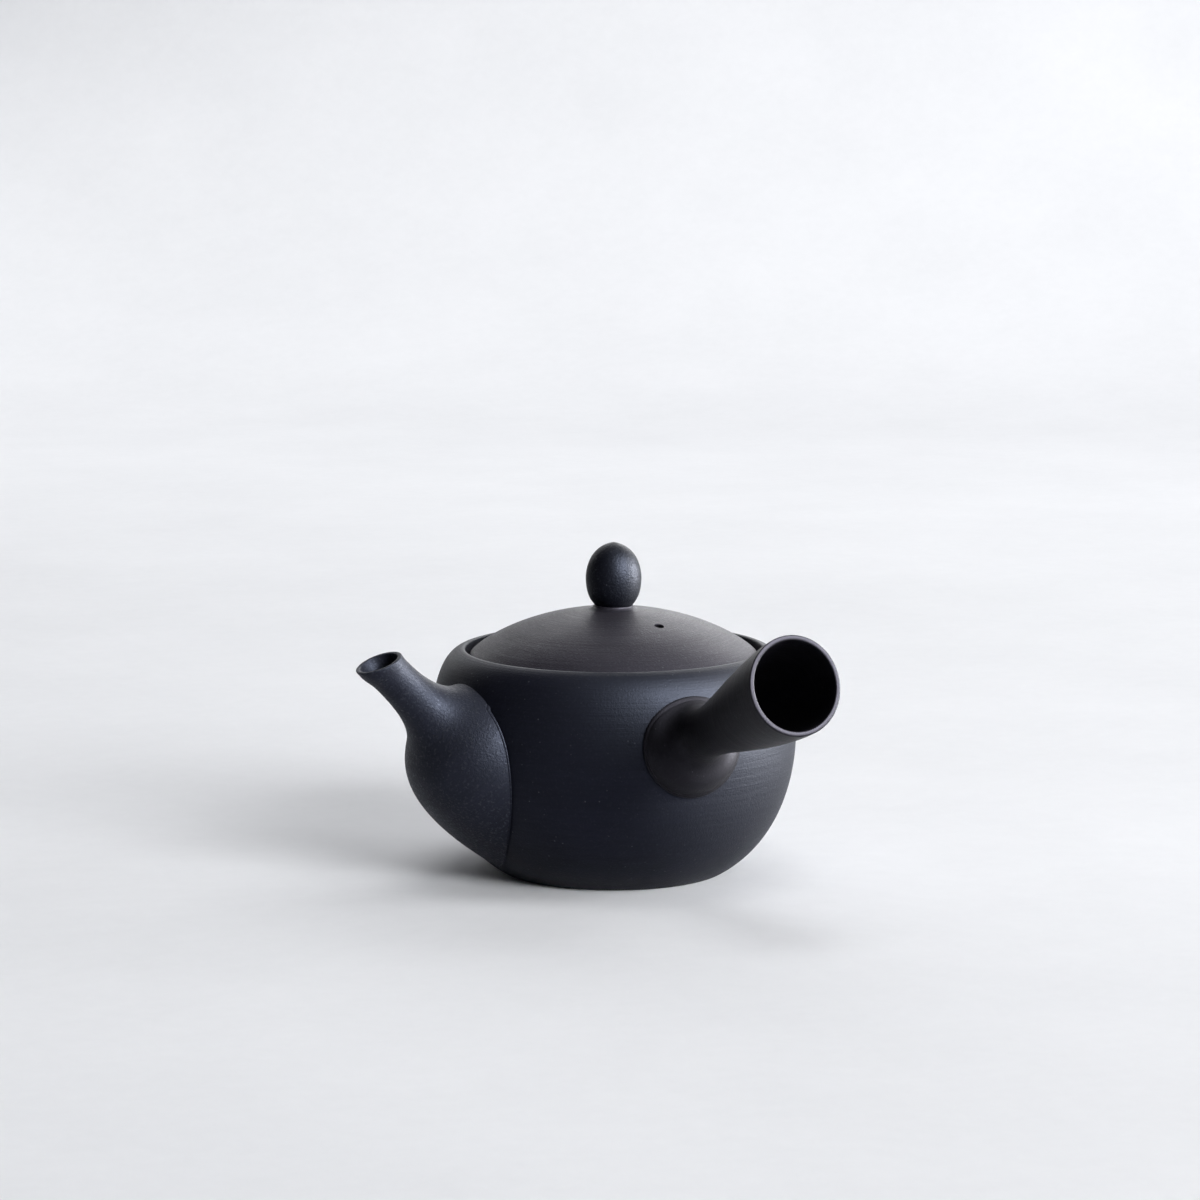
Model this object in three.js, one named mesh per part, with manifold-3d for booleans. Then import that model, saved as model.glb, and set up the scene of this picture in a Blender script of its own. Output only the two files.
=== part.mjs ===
// A kyusu, the Japanese side-handled teapot, in unglazed black clay.
// Millimetres, +Z up. The origin is the middle of the underside.
// The handle points along -Y. The spout lies a little less than a right angle round from it, near -X.

import * as THREE from "three";
import { mergeVertices } from "three/addons/utils/BufferGeometryUtils.js";
import Module from "manifold-3d";

const wasm = await Module();
wasm.setup();

// Pot body: a flat foot, a round belly and a shoulder that turns in to the lip.
const footRadius = 30.6;
const bellyRadius = 50;
const bellyHeight = 37.5;
const lipRadius = 41.5;
const bodyHeight = 61.3;
const bodyWall = 2.8;
const floorThickness = 3.6;
const footLean = 28.6; // degrees above the table at which the wall leaves the foot
const footPull = 18.9; // how far that first direction carries
const bellyPullDown = 8.8;
const bellyPullUp = 5.3;
const shoulderLean = 12.6; // degrees by which the shoulder falls away outside the lip
const shoulderPull = 8.1;
const lipRound = 0.7;

// Lid seat: a ledge inside the lip.
const seatDepth = 3.6; // from the crest of the lip down to the ledge
const seatWidth = 5.1;
const seatThickness = 2.6;
const seatSlope = 5.5; // height over which the ledge runs back into the wall below it

// Lid: a dome with a thin edge, and a flange below it that keeps it in the mouth.
const lidRadius = 39.3;
const lidRise = 12.4;
const lidEdge = 1.8;
const lidWall = 2.6;
const lidCrownPull = 22.4;
const lidEdgeLean = 51.6; // degrees at which the dome comes down to its edge
const lidEdgePull = 3.7;
const flangeDepth = 8;
const flangeThickness = 2.2;
const flangeRoot = 1.8; // how far the underside drops to run into the flange
const ventRadius = 1.4;
const ventPlace = 19.7; // from the lid's middle
const ventTurn = 13; // degrees round from the handle, away from the spout
const padRadius = 5.5;
const padHeight = 0.8;

// Knob: a bud with a slight point.
const knobRadius = 7.6;
const knobFootRadius = 5;
const knobHeight = 17;
const knobWidest = 7.2; // height of its widest place over its foot
const knobFootPull = 0.9; // how the foot's curve sets off, out and up alike
const knobLowerPull = 4.8;
const knobUpperPull = 1.2;
const knobShoulderRadius = 7.3;
const knobPoint = 1.2; // how much the tip rises out of the round

// Spout: turned as a full bulb that narrows to a neck, bent a little, and cut off on the slant.
const spoutTurn = 83; // degrees round from the handle
const spoutRootHeight = 26.7;
const spoutRootSink = 20.4; // from the belly's radius in to the root of the spout's line
const spoutRootTilt = 34.6;
const spoutTipTilt = 45.6;
const spoutLength = 57.5;
const spoutBulbRadius = 22.8;
const spoutNeckRadius = 5.5;
const spoutLipRadius = 6.2;
const spoutBulbPull = 42.1;
const spoutNeckPull = 30.8;
const spoutNeckStart = 51.8;
const spoutBulbWall = 2.6;
const spoutLipWall = 1.1;
const spoutMouthLean = 23.3; // degrees by which the mouth turns up from square
const spoutTail = 12; // length behind the root that the body then cuts away

// Handle: a hollow trumpet, wide at the wall, narrow behind the flare and open at its end.
const handleRootHeight = 40.9;
const handleRootSink = 10;
const handleRootTilt = 19;
const handleMouthTilt = 24.3;
const handleLength = 71.2;
const handleBaseRadius = 15.3;
const handleWaistRadius = 6.8;
const handleMouthRadius = 12.8;
const handleWaistPlace = 20.6; // along the handle from its root
const handleBasePull = 17.7;
const handleWaistPullIn = 13;
const handleWaistPullOut = 9;
const handleFlarePull = 19.6;
const handleFlare = 0.3; // how much narrower the flare's pull is than the mouth
const handleBaseWall = 2.8;
const handleMouthWall = 1.3;
const handleMouthLean = -8.5; // degrees by which the mouth turns down from square
const handleTail = 4;

// Strainer: a pierced dome inside the body, over the port to the spout.
const portRadius = 13;
const portShare = 0.473; // of the body's height, to the middle of the port
const strainerRadius = 17;
const strainerWall = 1.8;
const strainerSink = 3.2; // from the inner face of the belly to the middle of the dome's sphere
const strainerHoleRadius = 0.85;
const strainerRings = 4;
const strainerRingStep = 12; // degrees between rings of holes
const holesPerRing = 6; // more in each ring than in the one inside it

// Clearances
const joinGap = 0.3; // between pieces that are luted together, and where the lid rests
const lidSideGap = 1.3; // round the lid's edge, inside the lip
const flangeGap = 0.8; // round the lid's flange, inside the ledge

// Facets
const bodySides = 48;
const tubeSides = 28;
const knobSides = 24;
const holeSides = 5;
const curveSteps = 6;
const sphereSides = 24;
const sphereRows = 14;
const mergeDistance = 1e-4;

// Heights and radii that follow from the sizes above
const seatHeight = bodyHeight - seatDepth;
const seatOuterRadius = lidRadius + lidSideGap;
const seatInnerRadius = seatOuterRadius - seatWidth;
const lidUnderside = seatHeight + joinGap;
const lidEdgeTop = lidUnderside + lidEdge;
const lidApex = lidEdgeTop + lidRise;
const flangeOuterRadius = seatInnerRadius - flangeGap;
const padTop = lidApex + padHeight;
const knobFoot = padTop + joinGap;
const innerBellyRadius = bellyRadius - bodyWall;
const portHeight = portShare * bodyHeight;
const reachPastAll = 4 * bellyRadius;

const radians = THREE.MathUtils.degToRad;
const point = (radius, height) => new THREE.Vector2(radius, height);

// A piece of outline: a cubic curve between two points, pulled by two handles.
function curve(start, startPull, endPull, end, steps = curveSteps) {
  return new THREE.CubicBezierCurve(start, startPull, endPull, end).getPoints(steps);
}

// The same outline moved sideways by a distance, to its right as it is drawn.
function offset(outline, distance) {
  return outline.map((here, i) => {
    const before = outline[Math.max(i - 1, 0)];
    const after = outline[Math.min(i + 1, outline.length - 1)];
    const along = after.clone().sub(before).normalize();
    return point(here.x + along.y * distance, here.y - along.x * distance);
  });
}

// A solid of turning about +Z from an outline that is closed or that starts and ends on the axis.
function turned(outline, sides = bodySides) {
  const geometry = new THREE.LatheGeometry(outline, sides);
  geometry.rotateX(Math.PI / 2);
  return solid(geometry);
}

// A closed geometry as a solid that can be joined and cut.
function solid(geometry) {
  const bare = geometry.clone();
  bare.deleteAttribute("normal");
  bare.deleteAttribute("uv");
  const merged = mergeVertices(bare, mergeDistance);
  const corners = merged.index.array;
  const triangles = [];
  for (let i = 0; i < corners.length; i += 3) {
    const [a, b, c] = [corners[i], corners[i + 1], corners[i + 2]];
    if (a !== b && b !== c && c !== a) triangles.push(a, b, c);
  }
  return new wasm.Manifold(
    new wasm.Mesh({
      numProp: 3,
      vertProperties: merged.attributes.position.array,
      triVerts: new Uint32Array(triangles),
    }),
  );
}

// A solid as a geometry again.
function geometryOf(shape) {
  const mesh = shape.getMesh();
  const positions = new Float32Array(mesh.numVert * 3);
  for (let i = 0; i < mesh.numVert; i++) {
    positions.set(mesh.vertProperties.subarray(i * mesh.numProp, i * mesh.numProp + 3), i * 3);
  }
  const geometry = new THREE.BufferGeometry();
  geometry.setAttribute("position", new THREE.BufferAttribute(positions, 3));
  geometry.setIndex(new THREE.BufferAttribute(new Uint32Array(mesh.triVerts), 1));
  geometry.computeVertexNormals();
  return geometry;
}

// The horizontal direction that lies a number of degrees round from the handle, towards the spout.
function outward(turn) {
  const angle = radians(turn);
  return new THREE.Vector3(-Math.sin(angle), -Math.cos(angle), 0);
}

// Outline of the body's outside, from the foot up to the crest of the lip.
function bodyOutside() {
  const foot = point(footRadius, 0);
  const belly = point(bellyRadius, bellyHeight);
  const lip = point(lipRadius, bodyHeight);
  const footPulled = point(
    footRadius + footPull * Math.cos(radians(footLean)),
    footPull * Math.sin(radians(footLean)),
  );
  const shoulderPulled = point(
    lipRadius + shoulderPull * Math.cos(radians(shoulderLean)),
    bodyHeight - shoulderPull * Math.sin(radians(shoulderLean)),
  );
  const lower = curve(foot, footPulled, point(bellyRadius, bellyHeight - bellyPullDown), belly);
  const upper = curve(belly, point(bellyRadius, bellyHeight + bellyPullUp), shoulderPulled, lip);
  return [...lower, ...upper.slice(1)];
}

// Outline of the cavity, from the floor's middle up to the underside of the ledge.
function bodyInside(clearance) {
  const ledgeBack = seatHeight - seatThickness - seatSlope;
  const wallLine = offset(bodyOutside(), -bodyWall - clearance).filter(
    (p) => p.y > floorThickness + clearance && p.y < ledgeBack,
  );
  const floorHeight = floorThickness + clearance;
  const floorEdge = point(wallLine[0].x - (wallLine[0].y - floorHeight), floorHeight);
  return [point(0, floorHeight), floorEdge, ...wallLine];
}

function potBody(port) {
  const inside = bodyInside(0);
  const outline = [
    point(0, 0),
    ...bodyOutside(),
    point(seatOuterRadius, bodyHeight - lipRound),
    point(seatOuterRadius, seatHeight),
    point(seatInnerRadius, seatHeight),
    point(seatInnerRadius, seatHeight - seatThickness),
    ...inside.reverse(),
  ];
  return turned(outline).subtract(port);
}

// Everything within the body's outside and the joint's clearance, filled up to above the lip.
function bodyEnvelope() {
  const swollen = offset(bodyOutside(), joinGap);
  const top = swollen[swollen.length - 1];
  return turned([point(0, -joinGap), point(swollen[0].x, -joinGap), ...swollen, point(0, top.y)]);
}

// The cavity, smaller by the joint's clearance.
function cavityCore() {
  const line = bodyInside(joinGap);
  return turned([...line, point(0, line[line.length - 1].y)]);
}

// A turned tube, laid along a line that leaves the pot at one tilt and ends at another.
// The outline is given as distance from the line against distance along it from the root.
function bentTube(outline, { turn, rootSink, rootHeight, rootTilt, tipTilt, length }) {
  const geometry = new THREE.LatheGeometry(outline, tubeSides);
  geometry.rotateX(Math.PI / 2);
  const out = outward(turn);
  const up = new THREE.Vector3(0, 0, 1);
  const side = new THREE.Vector3().crossVectors(up, out);
  const start = radians(rootTilt);
  const bend = (radians(tipTilt) - start) / length;
  const root = out.clone().multiplyScalar(bellyRadius - rootSink).addScaledVector(up, rootHeight);
  const place = new THREE.Vector3();
  const positions = geometry.attributes.position;
  for (let i = 0; i < positions.count; i++) {
    const along = positions.getZ(i);
    const tilt = start + bend * along;
    const reach = (Math.sin(tilt) - Math.sin(start)) / bend;
    const climb = (Math.cos(start) - Math.cos(tilt)) / bend;
    place
      .copy(root)
      .addScaledVector(out, reach - Math.sin(tilt) * positions.getY(i))
      .addScaledVector(up, climb + Math.cos(tilt) * positions.getY(i))
      .addScaledVector(side, positions.getX(i));
    positions.setXYZ(i, place.x, place.y, place.z);
  }
  const tip = root
    .clone()
    .addScaledVector(out, (Math.sin(start + bend * length) - Math.sin(start)) / bend)
    .addScaledVector(up, (Math.cos(start) - Math.cos(start + bend * length)) / bend);
  return { shape: solid(geometry), tip, out };
}

// The space beyond a mouth that faces out and up at an angle.
function beyondMouth(tip, out, angle) {
  const block = new THREE.BoxGeometry(reachPastAll, reachPastAll, reachPastAll);
  const facing = out.clone().multiplyScalar(Math.cos(radians(angle)));
  facing.z = Math.sin(radians(angle));
  block.lookAt(facing);
  const middle = tip.clone().addScaledVector(facing, reachPastAll / 2);
  block.translate(middle.x, middle.y, middle.z);
  return solid(block);
}

function spout(envelope) {
  const tail = point(spoutBulbRadius, -spoutTail);
  const bulb = point(spoutBulbRadius, 0);
  const neck = point(spoutNeckRadius, spoutNeckStart);
  const overrun = 2 * spoutLipRadius * Math.tan(radians(spoutMouthLean));
  const neckLength = spoutLength - spoutNeckStart;
  const lip = point(spoutLipRadius, spoutLength);
  const end = point(spoutLipRadius, spoutLength + overrun);
  const narrowing = curve(
    bulb,
    point(spoutBulbRadius, spoutBulbPull),
    point(spoutNeckRadius, spoutNeckStart - spoutNeckPull),
    neck,
    2 * curveSteps,
  );
  const flaring = curve(
    neck,
    point(spoutNeckRadius, spoutNeckStart + neckLength / 2),
    point(spoutLipRadius, spoutLength - neckLength / 4),
    lip,
    3,
  );
  const outer = [tail, ...narrowing, ...flaring.slice(1), end];
  const reach = spoutLength + spoutTail;
  const inner = outer.map((p) => {
    const share = Math.min((p.y + spoutTail) / reach, 1);
    return point(p.x - THREE.MathUtils.lerp(spoutBulbWall, spoutLipWall, share), p.y);
  });
  const { shape, tip, out } = bentTube([...outer, ...inner.reverse(), tail], {
    turn: spoutTurn,
    rootSink: spoutRootSink,
    rootHeight: spoutRootHeight,
    rootTilt: spoutRootTilt,
    tipTilt: spoutTipTilt,
    length: spoutLength,
  });
  return shape
    .subtract(beyondMouth(tip, out, spoutTipTilt + spoutMouthLean))
    .subtract(envelope);
}

function handle(envelope) {
  const tail = point(handleBaseRadius, -handleTail);
  const base = point(handleBaseRadius, 0);
  const waist = point(handleWaistRadius, handleWaistPlace);
  const mouth = point(handleMouthRadius, handleLength);
  const overrun = 2 * handleMouthRadius * Math.tan(radians(Math.abs(handleMouthLean)));
  const end = point(handleMouthRadius, handleLength + overrun);
  const narrowing = curve(
    base,
    point(handleBaseRadius, handleBasePull),
    point(handleWaistRadius, handleWaistPlace - handleWaistPullIn),
    waist,
  );
  const flaring = curve(
    waist,
    point(handleWaistRadius, handleWaistPlace + handleWaistPullOut),
    point(handleMouthRadius - handleFlare, handleLength - handleFlarePull),
    mouth,
  );
  const outer = [tail, ...narrowing, ...flaring.slice(1), end];
  const reach = handleLength + handleTail;
  const inner = outer.map((p) => {
    const share = Math.min((p.y + handleTail) / reach, 1);
    return point(p.x - THREE.MathUtils.lerp(handleBaseWall, handleMouthWall, share), p.y);
  });
  const { shape, tip, out } = bentTube([...outer, ...inner.reverse(), tail], {
    turn: 0,
    rootSink: handleRootSink,
    rootHeight: handleRootHeight,
    rootTilt: handleRootTilt,
    tipTilt: handleMouthTilt,
    length: handleLength,
  });
  return shape
    .subtract(beyondMouth(tip, out, handleMouthTilt + handleMouthLean))
    .subtract(envelope);
}

// A round bar along a direction, from one distance to another from a starting place.
function bar(from, direction, start, end, radius, sides) {
  const geometry = new THREE.CylinderGeometry(radius, radius, end - start, sides);
  geometry.rotateX(Math.PI / 2);
  geometry.lookAt(direction);
  const middle = from.clone().addScaledVector(direction, (start + end) / 2);
  geometry.translate(middle.x, middle.y, middle.z);
  return solid(geometry);
}

// The hole through the wall behind the spout.
function spoutPort() {
  const axisFoot = new THREE.Vector3(0, 0, portHeight);
  const end = bellyRadius + bodyWall;
  return bar(axisFoot, outward(spoutTurn), innerBellyRadius / 2, end, portRadius, tubeSides);
}

function teaStrainer(cavity) {
  const out = outward(spoutTurn);
  const inward = out.clone().negate();
  const middle = out.clone().multiplyScalar(innerBellyRadius - strainerSink);
  middle.z = portHeight;
  const sphere = (radius) => {
    const geometry = new THREE.SphereGeometry(radius, sphereSides, sphereRows);
    geometry.translate(middle.x, middle.y, middle.z);
    return solid(geometry);
  };
  let dome = sphere(strainerRadius).subtract(sphere(strainerRadius - strainerWall)).intersect(cavity);
  const side = new THREE.Vector3().crossVectors(inward, new THREE.Vector3(0, 0, 1));
  for (let ring = 0; ring <= strainerRings; ring++) {
    const holes = Math.max(1, ring * holesPerRing);
    for (let hole = 0; hole < holes; hole++) {
      const direction = inward
        .clone()
        .applyAxisAngle(side, radians(ring * strainerRingStep))
        .applyAxisAngle(inward, (2 * Math.PI * hole) / holes);
      const start = strainerRadius - 2 * strainerWall;
      const end = strainerRadius + strainerWall;
      dome = dome.subtract(bar(middle, direction, start, end, strainerHoleRadius, holeSides));
    }
  }
  return dome;
}

// Outline of the lid's top, from its middle out to its edge.
function lidTop() {
  const lean = radians(lidEdgeLean);
  return curve(
    point(0, lidApex),
    point(lidCrownPull, lidApex),
    point(lidRadius - lidEdgePull * Math.cos(lean), lidEdgeTop + lidEdgePull * Math.sin(lean)),
    point(lidRadius, lidEdgeTop),
    2 * curveSteps,
  );
}

function lid() {
  const flangeInnerRadius = flangeOuterRadius - flangeThickness;
  const top = lidTop();
  const under = offset(top, lidWall).filter((p) => p.x > 0 && p.x < flangeInnerRadius);
  const outline = [
    point(0, lidApex - lidWall),
    ...under,
    point(flangeInnerRadius, under[under.length - 1].y - flangeRoot),
    point(flangeInnerRadius, lidUnderside - flangeDepth),
    point(flangeOuterRadius, lidUnderside - flangeDepth),
    point(flangeOuterRadius, lidUnderside),
    point(lidRadius, lidUnderside),
    ...top.filter((p) => p.x > padRadius).reverse(),
    point(padRadius, padTop),
    point(0, padTop),
  ];
  const place = outward(-ventTurn).multiplyScalar(ventPlace);
  const upward = new THREE.Vector3(0, 0, 1);
  const vent = bar(place, upward, lidUnderside, padTop, ventRadius, tubeSides / 2);
  return turned(outline).subtract(vent);
}

function lidKnob() {
  const tip = knobFoot + knobHeight;
  const widest = knobFoot + knobWidest;
  const lower = curve(
    point(knobFootRadius, knobFoot),
    point(knobFootRadius + knobFootPull, knobFoot + knobFootPull),
    point(knobRadius, widest - knobLowerPull),
    point(knobRadius, widest),
  );
  const upper = curve(
    point(knobRadius, widest),
    point(knobRadius, widest + knobUpperPull),
    point(knobShoulderRadius, tip - knobPoint),
    point(0, tip),
  );
  return turned([point(0, knobFoot), ...lower, ...upper.slice(1)], knobSides);
}

const blackClay = new THREE.MeshStandardMaterial({ color: 0x24262a, roughness: 0.62, metalness: 0 });
const lidClay = new THREE.MeshStandardMaterial({ color: 0x2b2b2d, roughness: 0.66, metalness: 0 });
const innerClay = new THREE.MeshStandardMaterial({ color: 0x1e1f21, roughness: 0.75, metalness: 0 });

const group = new THREE.Group();
function addPiece(name, shape, material) {
  const mesh = new THREE.Mesh(geometryOf(shape), material);
  mesh.name = name;
  group.add(mesh);
}

const envelope = bodyEnvelope();
addPiece("pot_body", potBody(spoutPort()), blackClay);
addPiece("spout", spout(envelope), blackClay);
addPiece("handle", handle(envelope), blackClay);
addPiece("tea_strainer", teaStrainer(cavityCore()), innerClay);
addPiece("lid", lid(), lidClay);
addPiece("lid_knob", lidKnob(), blackClay);

export default group;
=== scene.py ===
# %% [markdown]
# # A side-handled teapot in black clay
# This lesson dresses a kyusu, the Japanese teapot with a hollow handle at its side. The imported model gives
# the pieces at their real size and the joint that lifts the lid. Here each piece is made again with a fine
# surface, given a clay finish and set on the body that it moves with.

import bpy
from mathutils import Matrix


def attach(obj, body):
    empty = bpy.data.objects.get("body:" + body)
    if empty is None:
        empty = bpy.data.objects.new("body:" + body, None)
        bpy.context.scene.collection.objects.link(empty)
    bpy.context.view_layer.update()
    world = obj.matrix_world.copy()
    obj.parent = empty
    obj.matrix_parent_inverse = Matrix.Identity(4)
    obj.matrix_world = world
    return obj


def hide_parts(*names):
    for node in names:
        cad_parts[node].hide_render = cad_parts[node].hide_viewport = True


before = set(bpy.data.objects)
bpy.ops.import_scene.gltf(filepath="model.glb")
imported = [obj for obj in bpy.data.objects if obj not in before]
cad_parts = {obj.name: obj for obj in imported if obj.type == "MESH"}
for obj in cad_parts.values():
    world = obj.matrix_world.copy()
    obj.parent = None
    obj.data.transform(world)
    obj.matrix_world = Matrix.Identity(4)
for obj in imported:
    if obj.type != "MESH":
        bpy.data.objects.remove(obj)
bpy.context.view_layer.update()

# %% [markdown]
# ## Units and the few helpers that every piece shares
# Sizes are written in millimetres, as a potter would take them with a caliper, and turned into metres only
# where a point is made. Most pieces of a teapot are thrown, so they are outlines turned about an axis.

# %% Helpers for outlines
import math

import bmesh
import bpy
import numpy as np
from mathutils import Matrix, Vector
from mathutils.geometry import interpolate_bezier

MM = 0.001
CURVE_STEPS = 36
BODY_SIDES = 192
TUBE_SIDES = 112
KNOB_SIDES = 96
CORNER_STEPS = 4
SHARP_ANGLE = math.radians(38)
MERGE_DISTANCE = 1e-6


def curve(start, start_pull, end_pull, end, steps=CURVE_STEPS):
    """A smooth stretch of outline, as (radius, height) pairs in millimetres."""
    knots = [Vector((*p, 0)) for p in (start, start_pull, end_pull, end)]
    return [(p.x, p.y) for p in interpolate_bezier(*knots, steps + 1)]


def offset_outline(outline, distance):
    """The outline moved sideways, to its right as it is drawn."""
    line = np.array(outline, float)
    along = np.gradient(line, axis=0)
    along /= np.linalg.norm(along, axis=1)[:, None]
    return [tuple(p) for p in line + distance * np.stack([along[:, 1], -along[:, 0]], 1)]


# %% Helpers for turned pieces
def outline_mesh(outline, corners=(), closed=False):
    """A bmesh that holds the outline as a wire in the XZ plane, with its named corners rounded."""
    bm = bmesh.new()
    points = [bm.verts.new((radius * MM, 0, height * MM)) for radius, height in outline]
    for here, following in zip(points, points[1:]):
        bm.edges.new((here, following))
    if closed:
        bm.edges.new((points[-1], points[0]))
    for corner, radius in corners:
        place = Vector((corner[0] * MM, 0, corner[1] * MM))
        nearest = min(bm.verts, key=lambda v: (v.co - place).length)
        bmesh.ops.bevel(bm, geom=[nearest], offset=radius * MM, offset_type="OFFSET",
                        segments=CORNER_STEPS, profile=0.5, affect="VERTICES", material=-1)
    return bm


def spin_round(bm, sides):
    """Turns the outline about the Z axis, as on the wheel."""
    bmesh.ops.spin(bm, geom=bm.verts[:] + bm.edges[:], cent=(0, 0, 0), axis=(0, 0, 1), dvec=(0, 0, 0),
                   angle=math.tau, steps=sides, use_merge=True, use_duplicate=False)
    bmesh.ops.remove_doubles(bm, verts=bm.verts, dist=MERGE_DISTANCE)
    bmesh.ops.recalc_face_normals(bm, faces=bm.faces)
    return bm


def make_object(bm, name):
    """The bmesh as an object at the origin, smooth apart from its sharp edges."""
    mesh = bpy.data.meshes.new(name)
    bm.to_mesh(mesh)
    bm.free()
    mesh.shade_smooth()
    mesh.set_sharp_from_angle(angle=SHARP_ANGLE)
    piece = bpy.data.objects.new(name, mesh)
    bpy.context.scene.collection.objects.link(piece)
    return piece


# %% Helpers that cut a piece and dress it
def cut_away(piece, cutter):
    """Takes the cutter's shape out of the piece, and removes the cutter."""
    modifier = piece.modifiers.new("cut", "BOOLEAN")
    modifier.operation = "DIFFERENCE"
    modifier.solver = "EXACT"
    modifier.object = cutter
    graph = bpy.context.evaluated_depsgraph_get()
    mesh = bpy.data.meshes.new_from_object(piece.evaluated_get(graph))
    piece.modifiers.clear()
    piece.data = mesh
    bpy.data.objects.remove(cutter)
    mesh.shade_smooth()
    mesh.set_sharp_from_angle(angle=SHARP_ANGLE)
    return piece


def dress(piece, material, body, node):
    """Gives the piece its clay and the body that it moves with, and hides the node that it stands for."""
    piece.data.materials.clear()
    piece.data.materials.append(material)
    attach(piece, body)
    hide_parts(node)
    low, high = (Vector(c) for c in (piece.bound_box[0], piece.bound_box[6]))
    size = ", ".join(f"{side / MM:.1f}" for side in high - low)
    print(f"{piece.name}: {len(piece.data.polygons)} faces, {size} mm")


# %% [markdown]
# ## The camera
# The photograph was taken with a long lens from a little above the pot, so the picture hardly narrows with
# distance. The camera's place was worked out from the round outlines of the foot, the lip and the handle's
# mouth. It stands 25 degrees round from the handle, on the spout's side.

# %% Camera
VIEW_TURN = math.radians(25.3)
VIEW_PITCH = math.radians(8.66)
VIEW_DISTANCE = 1147
VIEW_HEIGHT = 249
VIEW_SIDESTEP = -3.7
LENS_MM = 127.5
SENSOR_MM = 36
CLIP_NEAR = 0.05
CLIP_FAR = 20

turn_to_view = Matrix.Rotation(-VIEW_TURN, 4, "Z")
camera = bpy.data.objects.new("camera", bpy.data.cameras.new("camera"))
bpy.context.scene.collection.objects.link(camera)
camera.data.lens = LENS_MM
camera.data.sensor_width = SENSOR_MM
camera.data.clip_start = CLIP_NEAR
camera.data.clip_end = CLIP_FAR
stand = Matrix.Translation(Vector((VIEW_SIDESTEP, -VIEW_DISTANCE, VIEW_HEIGHT)) * MM)
camera.matrix_world = turn_to_view @ stand @ Matrix.Rotation(math.pi / 2 - VIEW_PITCH, 4, "X")
bpy.context.scene.camera = camera
print("camera at", [round(c, 3) for c in camera.matrix_world.translation])

# %% [markdown]
# ## Grain and turning lines, shared by every clay
# Unglazed clay isn't one flat black. It has a sandy grain that glints where light grazes it, a few paler
# grains, faint clouds from the kiln, and rings and short streaks left by the potter's tool. The glints are
# partly painted: the glinting grit is smoother, and also has a paler colour as a painted glint. Each effect
# is a node group, so each clay can place it with its own strength. Image textures could show the same, but
# a procedural grain stays sharp at any distance and needs no unwrapping.

# %% Node helpers
def new_group(name, inputs, outputs):
    """An empty shader node group with the given sockets: name, kind and default."""
    group = bpy.data.node_groups.new(name, "ShaderNodeTree")
    for socket_name, kind, default in inputs:
        socket = group.interface.new_socket(socket_name, in_out="INPUT", socket_type=kind)
        if default is not None:
            socket.default_value = default
    for socket_name, kind in outputs:
        group.interface.new_socket(socket_name, in_out="OUTPUT", socket_type=kind)
    entry = group.nodes.new("NodeGroupInput")
    leaving = group.nodes.new("NodeGroupOutput")
    return group, entry, leaving


def add_node(tree, kind, values=None, links=None, **settings):
    """A node with its settings, its sockets' values, and links from other nodes' sockets."""
    node = tree.nodes.new(kind)
    for key, value in settings.items():
        setattr(node, key, value)
    for key, value in (values or {}).items():
        node.inputs[key].default_value = value
    for key, source in (links or {}).items():
        tree.links.new(source, node.inputs[key])
    return node


def between(tree, source, low, high, to_low=0.0, to_high=1.0):
    """The source's value, stretched so that low and high become to_low and to_high."""
    ends = {"From Min": low, "From Max": high, "To Min": to_low, "To Max": to_high}
    return add_node(tree, "ShaderNodeMapRange", ends, {"Value": source}).outputs["Result"]


def weigh(tree, parts):
    """The sum of several values, each times its own weight."""
    total = None
    for source, weight in parts:
        values = {1: weight, 2: 0.0} if total is None else {1: weight}
        links = {0: source} if total is None else {0: source, 2: total}
        total = add_node(tree, "ShaderNodeMath", values, links, operation="MULTIPLY_ADD").outputs[0]
    return total


# %% Node helpers that multiply, mix and make noise
def times(tree, first, second):
    """One changing value times another."""
    return add_node(tree, "ShaderNodeMath", {}, {0: first, 1: second}, operation="MULTIPLY").outputs[0]


def scaled(tree, vector, share):
    """A place or a colour, times a changing value."""
    links = {0: vector, "Scale": share}
    return add_node(tree, "ShaderNodeVectorMath", {}, links, operation="SCALE").outputs[0]


def mixed_in(tree, colour, share, other):
    """The colour, with the other one mixed in where its share is high."""
    return add_node(tree, "ShaderNodeMix", {7: other}, {0: share, 6: colour}, data_type="RGBA").outputs[2]


def noise(tree, vector, per_metre, detail, roughness=0.6):
    """Soft noise with so many waves to the metre."""
    look = {"Scale": per_metre, "Detail": detail, "Roughness": roughness}
    return add_node(tree, "ShaderNodeTexNoise", look, {"Vector": vector}).outputs["Fac"]


def ramp(tree, source, low, high, low_colour, high_colour):
    """Two colours, blended as the source's value goes from low to high."""
    node = add_node(tree, "ShaderNodeValToRGB", {}, {"Fac": source})
    for element, position, colour in zip(node.color_ramp.elements, (low, high), (low_colour, high_colour)):
        element.position = position
        element.color = colour
    return node.outputs["Color"]


# %% Grain group
SAND_PER_METRE = 2400
GRIT_PER_METRE = 1500
PALE_GRAINS_PER_METRE = 620
CLOUDS_PER_METRE = 42
SAND_SHARE = 0.45
GRIT_SHARE = 0.55
GLINTING_GRIT = (0.54, 0.72)
PALE_GRAIN_EDGE = (0.17, 0.08)
PALE_GRAIN_CHOICE = (0.62, 0.95)


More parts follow.
